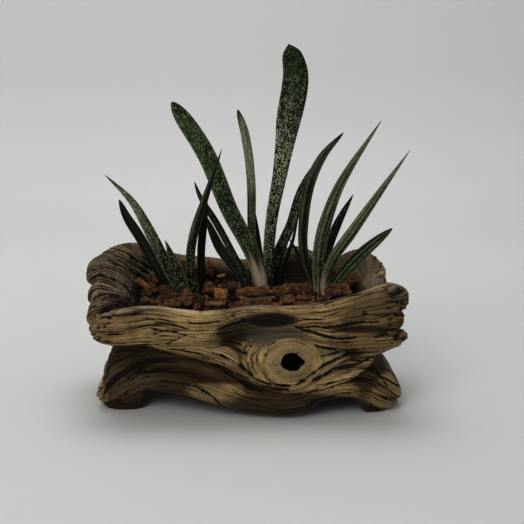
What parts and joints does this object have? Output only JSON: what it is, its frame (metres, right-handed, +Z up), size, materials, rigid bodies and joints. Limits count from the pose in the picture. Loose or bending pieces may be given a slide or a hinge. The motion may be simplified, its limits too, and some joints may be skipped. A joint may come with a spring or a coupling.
{
  "type": "potted gasteria",
  "caption": "Low driftwood-look cast planter on log feet, holding strap-leaved speckled gasteria rosettes in potting soil under a bark chip mulch.",
  "frame": {"origin": "on the ground below the middle of the whole object's bounding box", "axes": "+X to the right along the planter seen from the front, +Y from the front, where the knot is, to the back, +Z up"},
  "size_m": [0.2068, 0.1227, 0.227],
  "materials": {
    "cast_wood": "matte",
    "soil": "matte",
    "bark": "matte",
    "stem": "satin",
    "leaf_dark": "satin",
    "leaf_grey": "satin"
  },
  "bodies": {
    "root": {"planter": "cast_wood", "potting_soil": "soil", "bark_mulch": "bark", "crown_left": "stem", "crown_middle": "stem", "crown_right": "stem", "leaf_left_1": "leaf_grey", "leaf_left_2": "leaf_dark", "leaf_left_3": "leaf_grey", "leaf_left_4": "leaf_grey", "leaf_left_5": "leaf_dark", "leaf_middle_1": "leaf_grey", "leaf_middle_2": "leaf_dark", "leaf_middle_3": "leaf_dark", "leaf_middle_4": "leaf_grey", "leaf_middle_5": "leaf_dark", "leaf_middle_6": "leaf_dark", "leaf_middle_7": "leaf_dark", "leaf_middle_8": "leaf_dark", "leaf_middle_9": "leaf_dark", "leaf_right_1": "leaf_dark", "leaf_right_2": "leaf_grey", "leaf_right_3": "leaf_dark", "leaf_right_4": "leaf_grey", "leaf_right_5": "leaf_grey", "leaf_right_6": "leaf_dark"}
  },
  "joints": []
}
